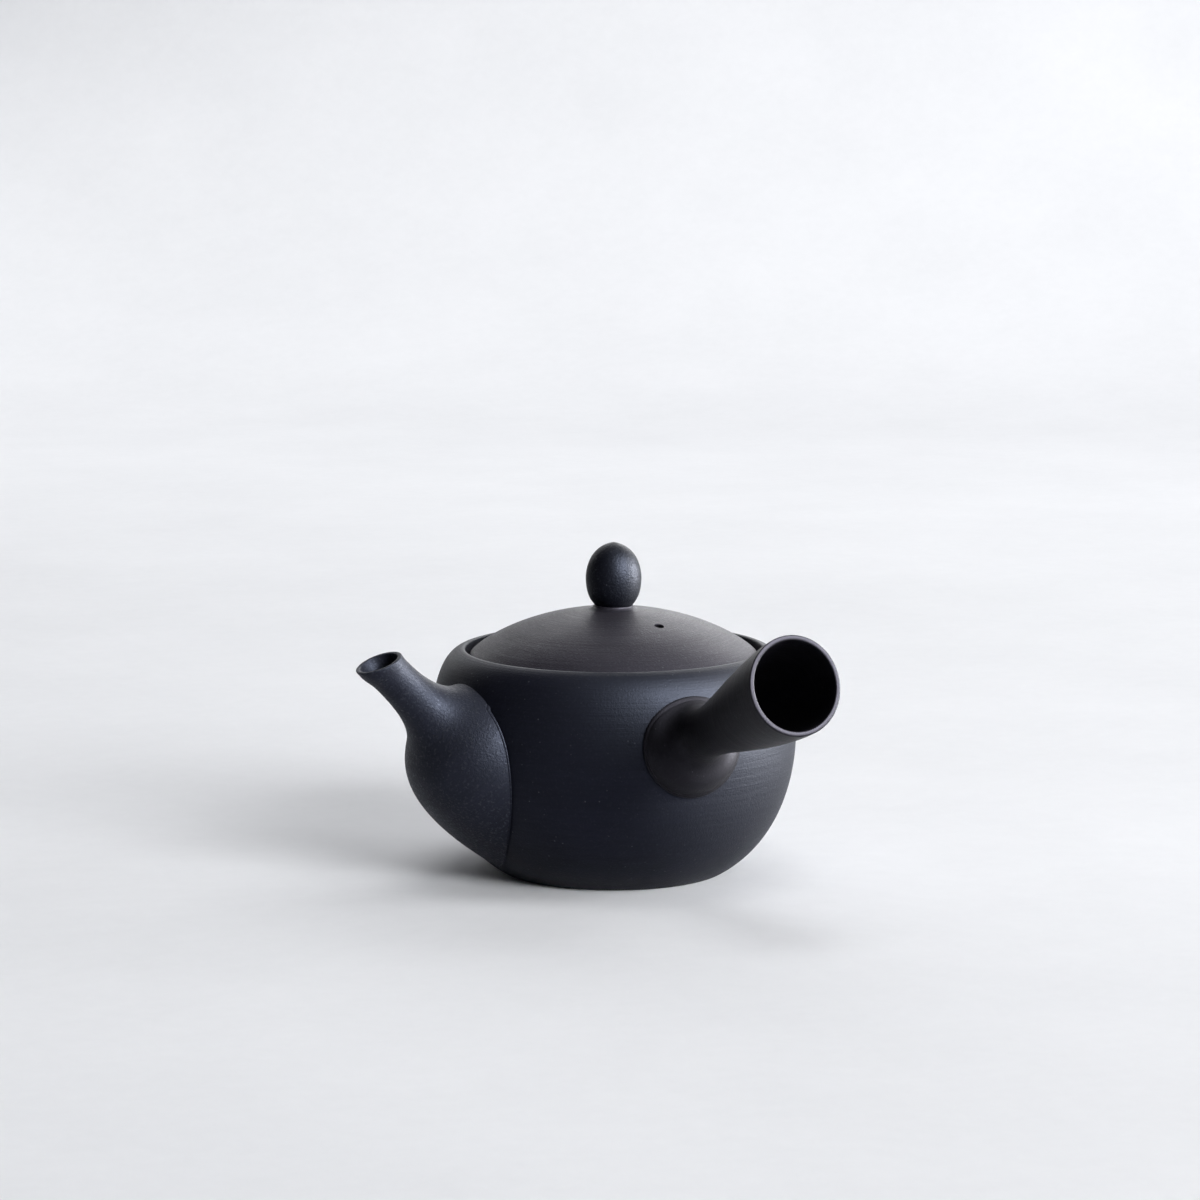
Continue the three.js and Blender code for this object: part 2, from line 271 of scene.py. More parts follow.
def build_grain_group():
    """Sand in the clay as a height, its glints, the few pale grains as a mask, and the kiln's clouds."""
    group, entry, leaving = new_group(
        "clay_grain",
        [("Vector", "NodeSocketVector", None), ("Coarseness", "NodeSocketFloat", 1.0)],
        [("Height", "NodeSocketFloat"), ("Glints", "NodeSocketFloat"), ("Pale Grains", "NodeSocketFloat"),
         ("Clouds", "NodeSocketFloat")],
    )
    closer = add_node(group, "ShaderNodeMath", {0: 1.0}, {1: entry.outputs["Coarseness"]},
                      operation="DIVIDE")
    place = scaled(group, entry.outputs["Vector"], closer.outputs[0])
    sand = noise(group, place, SAND_PER_METRE, 2)
    grit = noise(group, place, GRIT_PER_METRE, 3)
    cells = add_node(group, "ShaderNodeTexVoronoi", {"Scale": PALE_GRAINS_PER_METRE}, {"Vector": place})
    pick = add_node(group, "ShaderNodeSeparateColor", {}, {0: cells.outputs["Color"]})
    near = between(group, cells.outputs["Distance"], *PALE_GRAIN_EDGE)
    chosen = between(group, pick.outputs[0], *PALE_GRAIN_CHOICE)
    made = {"Height": weigh(group, [(sand, SAND_SHARE), (grit, GRIT_SHARE)]),
            "Glints": between(group, grit, *GLINTING_GRIT),
            "Pale Grains": times(group, near, chosen),
            "Clouds": noise(group, entry.outputs["Vector"], CLOUDS_PER_METRE, 4)}
    for socket_name, source in made.items():
        group.links.new(source, leaving.inputs[socket_name])
    return group


grain_group = build_grain_group()
print("group", grain_group.name, "with", len(grain_group.nodes), "nodes")

# %% Turning lines group
RINGS = {"drift_per_metre": 9, "stretch": 1.0, "detail": 4}
BANDS = {"drift_per_metre": 14, "stretch": 0.16, "detail": 2}
STREAKS = {"drift_per_metre": 110, "stretch": 2.4, "detail": 2}


def ring_noise(tree, position, run, drift_per_metre, stretch, detail):
    """Noise that runs along the outline by its stretch, and drifts slowly round the piece."""
    drift = add_node(tree, "ShaderNodeVectorMath", {1: (drift_per_metre, drift_per_metre, 0)},
                     {0: position}, operation="MULTIPLY")
    parts = add_node(tree, "ShaderNodeSeparateXYZ", {}, {0: drift.outputs[0]})
    stretched = add_node(tree, "ShaderNodeMath", {1: stretch}, {0: run}, operation="MULTIPLY")
    place = add_node(tree, "ShaderNodeCombineXYZ", {},
                     {"X": parts.outputs["X"], "Y": parts.outputs["Y"], "Z": stretched.outputs[0]})
    return noise(tree, place.outputs[0], 1.0, detail)


def build_lines_group():
    """Marks left by the tool: fine rings as a height, broad bands, and short streaks."""
    group, entry, leaving = new_group(
        "turning_lines",
        [("Along", "NodeSocketFloat", 0.0), ("Vector", "NodeSocketVector", None),
         ("Per Metre", "NodeSocketFloat", 600.0)],
        [("Height", "NodeSocketFloat"), ("Bands", "NodeSocketFloat"), ("Streaks", "NodeSocketFloat")],
    )
    run = times(group, entry.outputs["Along"], entry.outputs["Per Metre"])
    for socket_name, marks in (("Height", RINGS), ("Bands", BANDS), ("Streaks", STREAKS)):
        made = ring_noise(group, entry.outputs["Vector"], run, **marks)
        group.links.new(made, leaving.inputs[socket_name])
    return group


lines_group = build_lines_group()
print("group", lines_group.name, "with", len(lines_group.nodes), "nodes")

# %% [markdown]
# ## The clay itself
# Each piece was thrown by itself and burnished a little differently, so each gets its own clay from one
# recipe: two near blacks that the clouds and the bands blend, painted glints and pale grains on top, and
# three fine bumps. The pieces' lightness also holds painted light and shade: the lid's and the spout's
# clays are paler, as painted light, and the knob's is darker, as painted shade. A rough clay still shines
# where light grazes it. Its sheen is kept low, or the pale paper would mirror in the pot's dark front.

# %% Where a ring lies
def along_turned_piece(tree, position):
    """How far a point lies along the outline of a piece turned about Z: its height less its radius."""
    flat = add_node(tree, "ShaderNodeVectorMath", {1: (1, 1, 0)}, {0: position}, operation="MULTIPLY")
    radius = add_node(tree, "ShaderNodeVectorMath", {}, {0: flat.outputs[0]}, operation="LENGTH")
    parts = add_node(tree, "ShaderNodeSeparateXYZ", {}, {0: position})
    path = add_node(tree, "ShaderNodeMath", {}, {0: parts.outputs["Z"], 1: radius.outputs["Value"]},
                    operation="SUBTRACT")
    return path.outputs[0]


# %% Clay material
PALE_GRAIN = (0.075, 0.078, 0.086, 1)
# A painted glint: the paler colour given to the grit where it glints.
PAINTED_GLINT = (0.05, 0.054, 0.064, 1)
GLINT_SMOOTHNESS = 0.25
CLAY_IOR = 1.45
CLOUD_SHARE = 0.4
BAND_SHARE = 0.3
STREAK_SHARE = 0.3
TONE_LOW = 0.36
TONE_HIGH = 0.66
ROUGHNESS_SPREAD = 0.05
RING_DEPTH = 0.0004
STREAK_DEPTH = 0.00012
SAND_DEPTH = 0.0002


def bump(tree, height, strength, depth, normal=None):
    """A bump from a height, laid over the bump before it."""
    links = {"Height": height} if normal is None else {"Height": height, "Normal": normal}
    return add_node(tree, "ShaderNodeBump", {"Strength": strength, "Distance": depth}, links).outputs[0]


def make_clay(name, deep, pale, roughness, sheen, line_bump, grain_bump, coarseness=1.0, grains=0.5,
              glints=0.1, lines_per_metre=700, tint=(0.82, 0.80, 1.0), along="turned"):
    """A black clay. along says where its rings run: turned about Z, or by the piece's own attribute."""
    material = bpy.data.materials.new(name)
    material.use_nodes = True
    tree = material.node_tree
    tree.nodes.clear()
    shader = add_node(tree, "ShaderNodeBsdfPrincipled",
                      {"IOR": CLAY_IOR, "Specular IOR Level": sheen, "Specular Tint": (*tint, 1)})
    add_node(tree, "ShaderNodeOutputMaterial", {}, {"Surface": shader.outputs[0]}, is_active_output=True)
    position = add_node(tree, "ShaderNodeTexCoord").outputs["Object"]
    if along == "turned":
        path = along_turned_piece(tree, position)
    else:
        path = add_node(tree, "ShaderNodeAttribute", attribute_name=along).outputs["Fac"]
    grain = add_node(tree, "ShaderNodeGroup", node_tree=grain_group)
    grain.inputs["Coarseness"].default_value = coarseness
    tree.links.new(position, grain.inputs["Vector"])
    lines = add_node(tree, "ShaderNodeGroup", node_tree=lines_group)
    lines.inputs["Per Metre"].default_value = lines_per_metre
    tree.links.new(position, lines.inputs["Vector"])
    tree.links.new(path, lines.inputs["Along"])

    tone = weigh(tree, [(grain.outputs["Clouds"], CLOUD_SHARE), (lines.outputs["Bands"], BAND_SHARE),
                        (lines.outputs["Streaks"], STREAK_SHARE)])
    colour = ramp(tree, tone, TONE_LOW, TONE_HIGH, (*deep, 1), (*pale, 1))
    # Painted glint: where the grit glints it gets a paler colour, as well as a lower roughness.
    glint_share = weigh(tree, [(grain.outputs["Glints"], glints)])
    colour = mixed_in(tree, colour, glint_share, PAINTED_GLINT)
    grain_share = weigh(tree, [(grain.outputs["Pale Grains"], grains)])
    colour = mixed_in(tree, colour, grain_share, PALE_GRAIN)
    matt = between(tree, tone, TONE_LOW, TONE_HIGH, roughness + ROUGHNESS_SPREAD,
                   roughness - ROUGHNESS_SPREAD)
    rough = weigh(tree, [(glint_share, -GLINT_SMOOTHNESS), (matt, 1)])
    normal = bump(tree, lines.outputs["Height"], line_bump, RING_DEPTH)
    normal = bump(tree, lines.outputs["Streaks"], line_bump, STREAK_DEPTH, normal)
    normal = bump(tree, grain.outputs["Height"], grain_bump, SAND_DEPTH, normal)
    tree.links.new(colour, shader.inputs["Base Color"])
    tree.links.new(rough, shader.inputs["Roughness"])
    tree.links.new(normal, shader.inputs["Normal"])
    return material


# %% The clays of this pot
COOL_SHEEN = (0.66, 0.75, 1.0)

body_clay = make_clay("body_clay", deep=(0.0014, 0.0014, 0.0038), pale=(0.0048, 0.0048, 0.0104),
                      roughness=0.54, sheen=0.21, line_bump=0.24, grain_bump=0.5, tint=COOL_SHEEN)
# The spout's clay is paler than the body's: painted light on the spout.
spout_clay = make_clay("spout_clay", deep=(0.004, 0.0043, 0.008), pale=(0.012, 0.0126, 0.0215),
                       roughness=0.56, sheen=0.24, line_bump=0.10, grain_bump=1.0, coarseness=1.1,
                       grains=0.3, glints=0.6, tint=COOL_SHEEN, along="along")
handle_clay = make_clay("handle_clay", deep=(0.0024, 0.0023, 0.0032), pale=(0.0066, 0.0062, 0.0085),
                        roughness=0.50, sheen=0.22, line_bump=0.16, grain_bump=0.4, along="along")
# The lid's clay is paler than the body's: painted light on its upturned top.
lid_clay = make_clay("lid_clay", deep=(0.0113, 0.0101, 0.0142), pale=(0.0235, 0.0214, 0.0292),
                     roughness=0.52, sheen=0.22, line_bump=0.14, grain_bump=0.6, glints=0.3)
# The knob's clay is darker than the body's: painted shade on the knob.
knob_clay = make_clay("knob_clay", deep=(0.0010, 0.0010, 0.0024), pale=(0.0030, 0.0031, 0.0060),
                      roughness=0.50, sheen=0.18, line_bump=0.16, grain_bump=1.0, glints=0.25,
                      tint=COOL_SHEEN)
inner_clay = make_clay("inner_clay", deep=(0.012, 0.012, 0.013), pale=(0.034, 0.034, 0.036),
                       roughness=0.6, sheen=0.25, line_bump=0.12, grain_bump=0.5)
print("clays:", [m.name for m in bpy.data.materials if m.name.endswith("_clay")])

# %% [markdown]
# ## The pot's body
# The body is thrown in one piece: a flat foot, a belly and a shoulder that turns in to a thin lip, with a
# ledge inside for the lid. It could be built as a cylinder and pushed into shape, but a turned outline
# keeps the sizes exact, and every ring of faces then lies as the potter's rings do.

# %% Body outline
FOOT_RADIUS = 30.6
FOOT_PULL = (47.2, 9.05)
BELLY_RADIUS = 50.0
BELLY_HEIGHT = 37.5
BELLY_PULL_DOWN = 28.7
BELLY_PULL_UP = 42.8
SHOULDER_PULL = (49.4, 59.5)
LIP_RADIUS = 41.5
LIP_DROP = 0.1
BODY_HEIGHT = 61.3
BODY_WALL = 2.8
FLOOR = 3.6
JOIN_GAP = 0.3
LID_RADIUS = 39.3
LID_SIDE_GAP = 1.3
SEAT_DEPTH = 3.6
SEAT_WIDTH = 5.1
SEAT_THICKNESS = 2.6
SEAT_SLOPE = 5.5

seat_height = BODY_HEIGHT - SEAT_DEPTH
seat_outer = LID_RADIUS + LID_SIDE_GAP
seat_inner = seat_outer - SEAT_WIDTH


def body_outside():
    """From the foot's edge up to the crest of the lip."""
    belly = (BELLY_RADIUS, BELLY_HEIGHT)
    lower = curve((FOOT_RADIUS, 0), FOOT_PULL, (BELLY_RADIUS, BELLY_PULL_DOWN), belly)
    upper = curve(belly, (BELLY_RADIUS, BELLY_PULL_UP), SHOULDER_PULL, (LIP_RADIUS, BODY_HEIGHT))
    return lower + upper[1:]


def body_inside():
    """From the floor's middle up the inner wall to below the ledge."""
    ledge_back = seat_height - SEAT_THICKNESS - SEAT_SLOPE
    wall = [p for p in offset_outline(body_outside(), -BODY_WALL) if FLOOR + 1 < p[1] < ledge_back]
    floor_edge = (wall[0][0] - (wall[0][1] - FLOOR), FLOOR)
    return [(0, FLOOR), (floor_edge[0] / 2, FLOOR), floor_edge] + wall


def outer_radius_at(height):
    """The body's outer radius at a height, which the spout and the handle are trimmed to."""
    return np.interp(height, outside[:, 1], outside[:, 0])


outside = np.array(body_outside())
print(f"belly {2 * outside[:, 0].max():.1f} mm across, lip crest at {outside[-1, 1]:.1f} mm")

# %% Body mesh
FOOT_ROUND = 0.5
LIP_OUTER_ROUND = 0.35
LIP_INNER_ROUND = 0.45
SEAT_ROUND = 0.5


def make_pot_body():
    """The whole wall, turned in one piece from the foot over the lip and down the inside."""
    lip_inside = (seat_outer, BODY_HEIGHT - LIP_DROP)
    seat_edge = (seat_inner, seat_height)
    seat_below = (seat_inner, seat_height - SEAT_THICKNESS)
    outline = [(0, 0), (FOOT_RADIUS / 2, 0), *body_outside(), lip_inside, (seat_outer, seat_height),
               seat_edge, seat_below, *reversed(body_inside())]
    corners = [((FOOT_RADIUS, 0), FOOT_ROUND), ((LIP_RADIUS, BODY_HEIGHT), LIP_OUTER_ROUND),
               (lip_inside, LIP_INNER_ROUND), (seat_edge, SEAT_ROUND), (seat_below, SEAT_ROUND)]
    return make_object(spin_round(outline_mesh(outline, corners), BODY_SIDES), "pot_body_clay")


pot_body = make_pot_body()

# %% The port behind the spout
PORT_RADIUS = 13
PORT_HEIGHT = 29
SPOUT_TURN = 83
BAR_SIDES = 48


def outward(turn_degrees):
    """The level direction that lies so many degrees round from the handle, towards the spout."""
    angle = math.radians(turn_degrees)
    return Vector((-math.sin(angle), -math.cos(angle), 0))


def aimed(direction):
    """The turn that points the Z axis in a direction."""
    return direction.to_track_quat("Z", "Y").to_matrix().to_4x4()


def make_bar(name, start, direction, length, radius):
    """A round bar, to cut holes with, in millimetres."""
    bm = bmesh.new()
    middle = Matrix.Translation((start + direction * length / 2) * MM)
    bmesh.ops.create_cone(bm, cap_ends=True, segments=BAR_SIDES, radius1=radius * MM,
                          radius2=radius * MM, depth=length * MM, matrix=middle @ aimed(direction))
    return make_object(bm, name)


port_start = Vector((0, 0, PORT_HEIGHT)) + outward(SPOUT_TURN) * BELLY_RADIUS / 2
cut_away(pot_body, make_bar("port_cutter", port_start, outward(SPOUT_TURN), BELLY_RADIUS, PORT_RADIUS))
dress(pot_body, body_clay, "pot", "pot_body")

# %% [markdown]
# ## Spout and handle: thrown straight, bent, and trimmed to fit
# Both are thrown as straight tubes. The potter bends them a little while the clay is soft, trims one end to
# the curve of the pot and the other to a mouth, and lutes them on with slip. The mesh is made the same way:
# a tube with rounded ends is turned, then every point is moved along the bent line, so that the tube
# starts where its wall meets the body and ends in the plane of its mouth.

# %% The luted edge
EDGE_ZONE = 2.4
EDGE_STEP = 0.12
BEAD_WIDTH = 0.3


def ridge(distance, middle, height, width=BEAD_WIDTH):
    """A smooth ridge round the edge, or a groove where its height is negative."""
    return height * np.exp(-((distance - middle) / width) ** 2)


def spout_edge(distance):
    """The smoothed lip of slip, with the fine line that the tool left beside it."""
    return ridge(distance, middle=0.3, height=0.04) + ridge(distance, middle=0.8, height=-0.17, width=0.13)


def handle_edge(distance):
    """A small bead of slip, squeezed out as the handle was pressed on."""
    return ridge(distance, middle=0.35, height=0.2) + ridge(distance, middle=0.85, height=-0.12, width=0.14)


# %% Bent tubes
STRAIGHT_OUTSIDE = 10.0
STRAIGHT_INSIDE = 9.0
TUBE_ROWS = 90
ROOT_SEARCH = -11.9
MOUTH_SEARCH = 1.3
HALVINGS = 40


class BentTube:
    """A turned tube on a line that leaves the pot at one tilt and ends at another."""

    def __init__(self, turn, root_sink, root_height, root_tilt, tip_tilt, length, outline, walls,
                 mouth_tilt):
        self.out = outward(turn)
        self.side = Vector((0, 0, 1)).cross(self.out)
        self.root = (BELLY_RADIUS - root_sink, root_height)
        self.root_tilt = math.radians(root_tilt)
        self.bend = (math.radians(tip_tilt) - self.root_tilt) / length
        self.length = length
        self.outline = np.array(outline)
        self.walls = walls
        self.mouth_tilt = math.radians(mouth_tilt)
        reach, rise, _ = self.line(np.array(float(length)))
        self.tip = (float(reach), float(rise))

    def line(self, s):
        """Reach from the pot's axis, height and tilt of the tube's line at a length s from its root."""
        tilt = self.root_tilt + self.bend * s
        reach = self.root[0] + (np.sin(tilt) - math.sin(self.root_tilt)) / self.bend
        rise = self.root[1] + (math.cos(self.root_tilt) - np.cos(tilt)) / self.bend
        return reach, rise, tilt

    def point(self, s, around, depth, relief=0.0):
        """Reach, height and sideways place of a point, depth being 0 outside and 1 inside the wall."""
        reach, rise, tilt = self.line(s)
        share = np.clip(s / self.length, 0, 1)
        wall = self.walls[0] + (self.walls[1] - self.walls[0]) * share
        radius = np.interp(s, self.outline[:, 1], self.outline[:, 0]) - depth * wall + (1 - depth) * relief
        up = radius * np.sin(around)
        return reach - np.sin(tilt) * up, rise + np.cos(tilt) * up, radius * np.cos(around)

    def outside_body(self, s, around, depth):
        """How far a point lies outside the pot's wall and the gap before it."""
        reach, rise, sideways = self.point(s, around, depth)
        return np.hypot(reach, sideways) - outer_radius_at(rise) - JOIN_GAP

    def past_mouth(self, s, around, depth):
        """How far a point lies beyond the plane of the mouth."""
        reach, rise, _ = self.point(s, around, depth)
        beyond = (reach - self.tip[0]) * math.cos(self.mouth_tilt)
        return beyond + (rise - self.tip[1]) * math.sin(self.mouth_tilt)

    def crossing(self, test, low, high, around, depth):
        """The length at which a test turns positive, found by halving."""
        low, high = np.full_like(around, low), np.full_like(around, high)
        for _ in range(HALVINGS):
            middle = (low + high) / 2
            beyond = test(middle, around, depth) > 0
            low, high = np.where(beyond, low, middle), np.where(beyond, middle, high)
        return (low + high) / 2

    def straight(self, end_rounds):
        """The tube as it is thrown, with close rows near the end that is luted on."""
        edge_steps = np.arange(2 * end_rounds[0], EDGE_ZONE, EDGE_STEP)
        steps = [0, *edge_steps, *np.linspace(EDGE_ZONE, self.length, TUBE_ROWS)]
        radii = (STRAIGHT_OUTSIDE, STRAIGHT_INSIDE)
        outline = [(radii[0], h) for h in steps] + [(radii[1], h) for h in reversed(steps)]
        corners = [((r, h), size) for h, size in zip((0, self.length), end_rounds) for r in radii]
        return spin_round(outline_mesh(outline, corners, closed=True), TUBE_SIDES)

    def make(self, name, end_rounds, edge_relief):
        """Turns a straight tube, then bends it and fits both its ends."""
        bm = self.straight(end_rounds)
        place = np.array([v.co for v in bm.verts]) / MM
        around = np.arctan2(place[:, 1], place[:, 0])
        wall = STRAIGHT_OUTSIDE - STRAIGHT_INSIDE
        depth = (STRAIGHT_OUTSIDE - np.hypot(place[:, 0], place[:, 1])) / wall
        share = place[:, 2] / self.length
        start = self.crossing(self.outside_body, ROOT_SEARCH, self.length / 2, around, depth)
        end = self.crossing(self.past_mouth, self.length / 2, self.length * MOUTH_SEARCH, around, depth)
        s = start + (end - start) * share
        reach, rise, sideways = self.point(s, around, depth, edge_relief(s - start))
        along = bm.verts.layers.float.new("along")
        for vert, length, r, z, y in zip(bm.verts, s, reach, rise, sideways):
            vert.co = (self.out * r + self.side * y + Vector((0, 0, z))) * MM
            vert[along] = length * MM
        bmesh.ops.recalc_face_normals(bm, faces=bm.faces)
        return make_object(bm, name)


# %% Spout
SPOUT_LENGTH = 57.5
SPOUT_BULB = 22.8
SPOUT_BULB_PULL = 42.1
SPOUT_NECK = 5.5
SPOUT_NECK_AT = 51.8
SPOUT_NECK_PULLS = (21, 54.6)
SPOUT_MOUTH = 6.2
SPOUT_MOUTH_PULL = 56.1
SPOUT_MOUTH_STEPS = 8
TUBE_LEAD = 12
TUBE_BEYOND = 23

spout_bulb = curve((SPOUT_BULB, 0), (SPOUT_BULB, SPOUT_BULB_PULL), (SPOUT_NECK, SPOUT_NECK_PULLS[0]),
                   (SPOUT_NECK, SPOUT_NECK_AT))
spout_lip = curve((SPOUT_NECK, SPOUT_NECK_AT), (SPOUT_NECK, SPOUT_NECK_PULLS[1]),
                  (SPOUT_MOUTH, SPOUT_MOUTH_PULL), (SPOUT_MOUTH, SPOUT_LENGTH), SPOUT_MOUTH_STEPS)
spout_outline = [(SPOUT_BULB, -TUBE_LEAD), *spout_bulb, *spout_lip[1:],
                 (SPOUT_MOUTH, SPOUT_LENGTH + TUBE_BEYOND)]
spout_tube = BentTube(turn=SPOUT_TURN, root_sink=20.4, root_height=26.7, root_tilt=34.6, tip_tilt=45.6,
                      length=SPOUT_LENGTH, outline=spout_outline, walls=(2.6, 1.1), mouth_tilt=68.9)
spout = spout_tube.make("spout_clay_piece", end_rounds=(0.25, 0.45), edge_relief=spout_edge)
dress(spout, spout_clay, "pot", "spout")

# %% Handle
HANDLE_LENGTH = 71.2
HANDLE_FOOT = 15.3
HANDLE_FOOT_PULL = 17.7
HANDLE_NECK = 6.8
HANDLE_NECK_AT = 20.6
HANDLE_NECK_PULLS = (7.6, 29.6)
HANDLE_MOUTH = 12.8
HANDLE_FLARE_PULL = (12.5, 51.6)

handle_foot = curve((HANDLE_FOOT, 0), (HANDLE_FOOT, HANDLE_FOOT_PULL), (HANDLE_NECK, HANDLE_NECK_PULLS[0]),
                    (HANDLE_NECK, HANDLE_NECK_AT))
handle_trumpet = curve((HANDLE_NECK, HANDLE_NECK_AT), (HANDLE_NECK, HANDLE_NECK_PULLS[1]),
                       HANDLE_FLARE_PULL, (HANDLE_MOUTH, HANDLE_LENGTH))
handle_outline = [(HANDLE_FOOT, -TUBE_LEAD), *handle_foot, *handle_trumpet[1:],
                  (HANDLE_MOUTH, HANDLE_LENGTH + TUBE_BEYOND)]
handle_tube = BentTube(turn=0, root_sink=10, root_height=40.9, root_tilt=19, tip_tilt=24.3,
                       length=HANDLE_LENGTH, outline=handle_outline, walls=(2.8, 1.3), mouth_tilt=15.8)
handle = handle_tube.make("handle_clay_piece", end_rounds=(0.25, 0.35), edge_relief=handle_edge)
dress(handle, handle_clay, "pot", "handle")

# %% [markdown]
# ## The strainer inside
# A pierced dome sits over the port behind the spout and holds the leaves back. It can't be seen until the
# lid is lifted, but then it looks up out of the pot. The dome is a sphere's skin cut by the inner wall, and
# its holes stand in rings, more in each ring than in the one inside it.

# %% Strainer dome
STRAINER_RADIUS = 17
STRAINER_WALL = 1.8
STRAINER_SINK = 3.2
STRAINER_SIDES = 72
WALL_CUTTER_RADIUS = 75
WALL_CUTTER_FOOT = -10
WALL_CUTTER_TOP = 80
WALL_LINE_TOP = 55

inward = -outward(SPOUT_TURN)
strainer_reach = BELLY_RADIUS - BODY_WALL - STRAINER_SINK
strainer_middle = outward(SPOUT_TURN) * strainer_reach + Vector((0, 0, PORT_HEIGHT))


def make_dome():
    """A sphere's skin, cut off where the pot's inner wall begins."""
    bm = bmesh.new()
    place = Matrix.Translation(strainer_middle * MM) @ aimed(inward)
    for radius in (STRAINER_RADIUS, STRAINER_RADIUS - STRAINER_WALL):
        made = bmesh.ops.create_uvsphere(bm, u_segments=STRAINER_SIDES, v_segments=STRAINER_SIDES // 2,
                                         radius=radius * MM, matrix=place)
    bmesh.ops.reverse_faces(bm, faces=list({f for v in made["verts"] for f in v.link_faces}))
    dome = make_object(bm, "tea_strainer_clay")
    wall = offset_outline(body_outside(), -BODY_WALL - JOIN_GAP)
    wall = [p for p in wall if FLOOR + 2 < p[1] < WALL_LINE_TOP]
    outline = [*wall, (wall[-1][0], WALL_CUTTER_TOP), (WALL_CUTTER_RADIUS, WALL_CUTTER_TOP),
               (WALL_CUTTER_RADIUS, WALL_CUTTER_FOOT), (wall[0][0], WALL_CUTTER_FOOT)]
    cutter = make_object(spin_round(outline_mesh(outline, closed=True), BODY_SIDES), "wall_cutter")
    return cut_away(dome, cutter)


tea_strainer = make_dome()
print("dome:", len(tea_strainer.data.polygons), "faces before it is pierced")

# %% Strainer holes
STRAINER_RINGS = 4
RING_STEP = math.radians(12)
HOLES_PER_RING = 6
HOLE_RADIUS = 0.85
HOLE_SIDES = 14


def make_hole_cutters():
    """Short bars that all point at the dome's middle, in rings round the one in front."""
    side = inward.cross(Vector((0, 0, 1)))
    bm = bmesh.new()
    for ring in range(STRAINER_RINGS + 1):
        holes = max(1, ring * HOLES_PER_RING)
        for hole in range(holes):
            direction = inward.copy()
            direction.rotate(Matrix.Rotation(ring * RING_STEP, 3, side))
            direction.rotate(Matrix.Rotation(math.tau * hole / holes, 3, inward))
            centre = strainer_middle + direction * (STRAINER_RADIUS - STRAINER_WALL / 2)
            bmesh.ops.create_cone(bm, cap_ends=True, segments=HOLE_SIDES, radius1=HOLE_RADIUS * MM,
                                  radius2=HOLE_RADIUS * MM, depth=3 * STRAINER_WALL * MM,
                                  matrix=Matrix.Translation(centre * MM) @ aimed(direction))
    return make_object(bm, "hole_cutters")


cut_away(tea_strainer, make_hole_cutters())
dress(tea_strainer, inner_clay, "pot", "tea_strainer")

# %% [markdown]
# ## The lid and its knob
# The lid is turned as a shallow dome with a thin edge, and a flange below it keeps it in the mouth. A vent
# hole lets air in while the tea pours. The knob is turned by itself, as a bud with a slight point, and
# stands on a low pad of slip.

# %% Lid outline
LID_EDGE = 1.8
LID_RISE = 12.4
LID_WALL = 2.6
LID_CROWN_PULL = 22.4
LID_EDGE_PULL = (2.3, 2.9)
PAD_RADIUS = 5.4
PAD_HEIGHT = 0.8
COLLAR_RADIUS = 7.4
COLLAR_STEPS = 10

lid_underside = seat_height + JOIN_GAP
lid_edge_top = lid_underside + LID_EDGE
lid_apex = lid_edge_top + LID_RISE
pad_top = lid_apex + PAD_HEIGHT


def lid_top():
    """From the lid's middle out to its edge."""
    edge_pull = (LID_RADIUS - LID_EDGE_PULL[0], lid_edge_top + LID_EDGE_PULL[1])
    return curve((0, lid_apex), (LID_CROWN_PULL, lid_apex), edge_pull, (LID_RADIUS, lid_edge_top))


def collar():
    """The hollow curve of slip from the dome up to the pad that the knob stands on."""
    foot = float(np.interp(COLLAR_RADIUS, *np.array(lid_top()).T))
    return curve((COLLAR_RADIUS, foot), (PAD_RADIUS + 0.7, foot + 0.05),
                 (PAD_RADIUS + 0.1, pad_top - 0.4), (PAD_RADIUS, pad_top), COLLAR_STEPS)


print(f"lid: edge at {lid_edge_top:.1f} mm, pad at {pad_top:.1f} mm")

# %% Lid mesh
FLANGE_DEPTH = 8
FLANGE_THICKNESS = 2.2
FLANGE_GAP = 0.8
FLANGE_STEP = 1.0
FLANGE_FOOT_ROUND = 0.6
FLANGE_TOP_ROUND = 0.4
LID_EDGE_ROUND = 0.5
PAD_ROUND = 0.3
DOME_START = COLLAR_RADIUS + 0.4


def make_lid():
    """The dome, its edge, the flange below it and the pad on it, turned in one piece."""
    outer = seat_inner - FLANGE_GAP
    inner = outer - FLANGE_THICKNESS
    foot = lid_underside - FLANGE_DEPTH
    under = [p for p in offset_outline(lid_top(), LID_WALL) if 0 < p[0] < inner]
    dome = [p for p in lid_top() if p[0] > DOME_START]
    outline = [(0, lid_apex - LID_WALL), *under, (inner, under[-1][1] - FLANGE_STEP), (inner, foot),
               (outer, foot), (outer, lid_underside), (LID_RADIUS, lid_underside), *reversed(dome),
               *collar(), (0, pad_top)]
    corners = [((inner, foot), FLANGE_FOOT_ROUND), ((outer, foot), FLANGE_FOOT_ROUND),
               ((outer, lid_underside), FLANGE_TOP_ROUND), ((LID_RADIUS, lid_underside), LID_EDGE_ROUND),
               ((LID_RADIUS, lid_edge_top), LID_EDGE_ROUND), ((PAD_RADIUS, pad_top), PAD_ROUND)]
    return make_object(spin_round(outline_mesh(outline, corners), BODY_SIDES), "lid_clay_piece")


lid = make_lid()

# %% Vent
VENT_RADIUS = 1.4
VENT_PLACE = 19.7
VENT_TURN = -13
VENT_LIP = 0.3
VENT_HOLLOW_RADIUS = 2.0
VENT_HOLLOW_DEPTH = 1.7


def pierce_vent():
    """A straight hole, up through the dome."""
    start = outward(VENT_TURN) * VENT_PLACE + Vector((0, 0, lid_underside))
    length = LID_RISE + LID_EDGE + 2
    cut_away(lid, make_bar("vent_cutter", start, Vector((0, 0, 1)), length, VENT_RADIUS))


